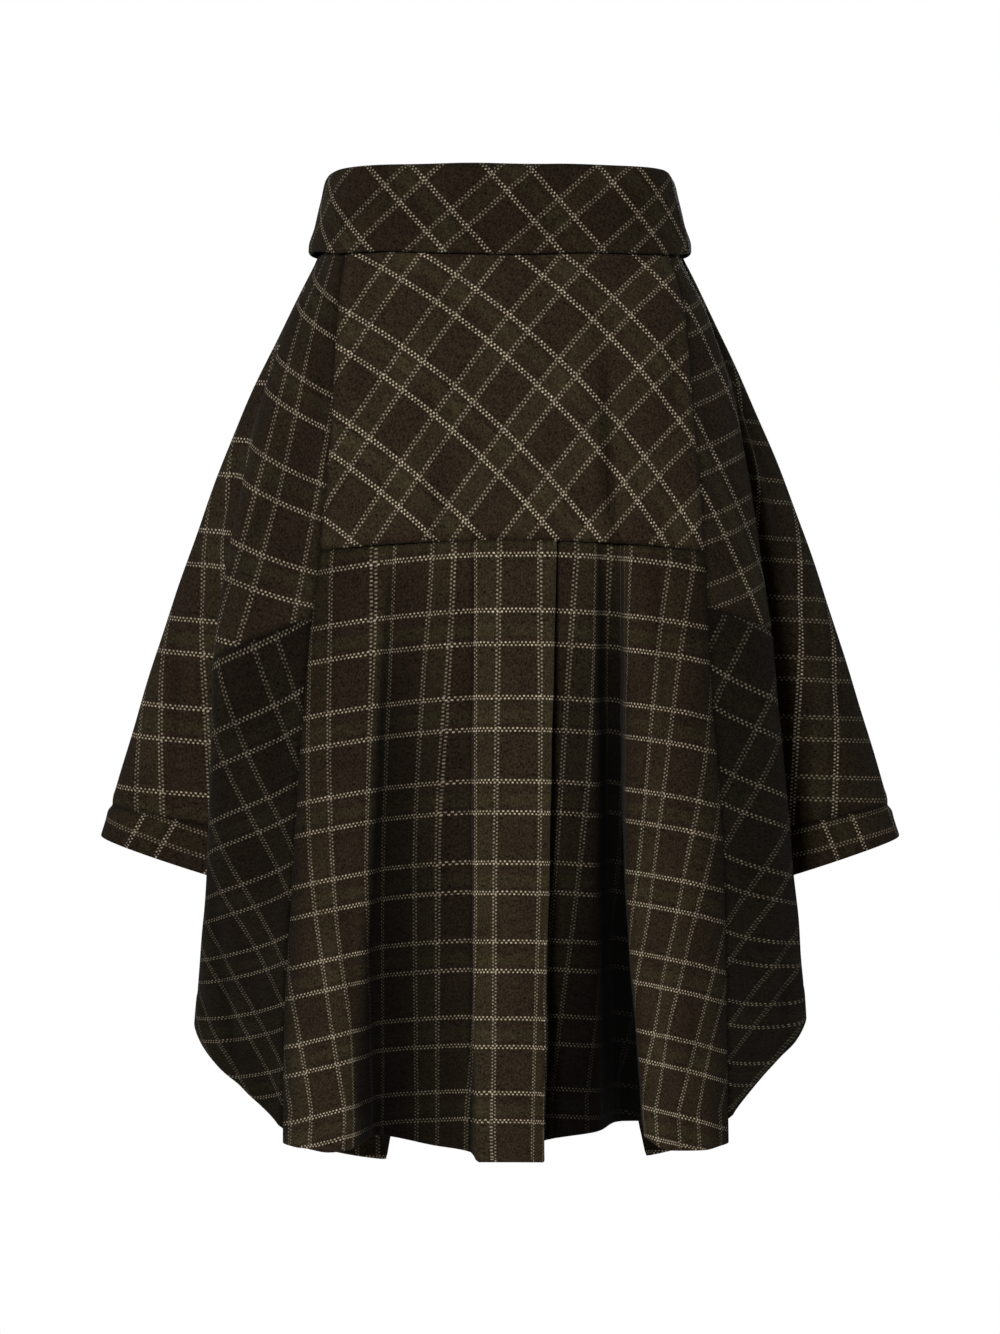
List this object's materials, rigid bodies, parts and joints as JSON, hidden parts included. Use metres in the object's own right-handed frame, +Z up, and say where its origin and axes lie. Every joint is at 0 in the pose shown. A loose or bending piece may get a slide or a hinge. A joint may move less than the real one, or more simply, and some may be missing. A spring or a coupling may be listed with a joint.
{
  "type": "single-breasted coat",
  "caption": "Swing coat with a wide fold-over collar, pleated back, flared sleeves with cuffs and a button front, kept in its hollow worn form.",
  "frame": {"origin": "middle of the neckline ring, where the coat rests on the wearer's shoulders", "axes": "+Z up along the wearer's spine, the front faces -Y, the wearer's left is +X"},
  "size_m": [0.809, 0.3509, 1.0034],
  "materials": {
    "collar_wool": "brushed wool coating in a dark brown and olive check with cream dotted lines, soft nap",
    "yoke_wool": "brushed wool coating in a dark brown and olive check with cream dotted lines, soft nap",
    "back_wool": "brushed wool coating in a dark brown and olive check with cream dotted lines, soft nap",
    "side_wool": "brushed wool coating in a dark brown and olive check with cream dotted lines, soft nap",
    "front_wool": "brushed wool coating in a dark brown and olive check with cream dotted lines, soft nap",
    "sleeve_wool": "brushed wool coating in a dark brown and olive check with cream dotted lines, soft nap",
    "button": "polished dark brown, four holes sewn with thread"
  },
  "bodies": {
    "root": {"collar": "collar_wool", "back_yoke": "yoke_wool", "back_panel": "back_wool", "side_back_left": "side_wool", "side_back_right": "side_wool", "side_lower_left": "side_wool", "side_lower_right": "side_wool", "front_left": "front_wool", "front_right": "front_wool", "sleeve_left": "sleeve_wool", "sleeve_right": "sleeve_wool", "cuff_left": "sleeve_wool", "cuff_right": "sleeve_wool", "button_1": "button", "button_2": "button", "button_3": "button", "button_4": "button"}
  },
  "joints": []
}
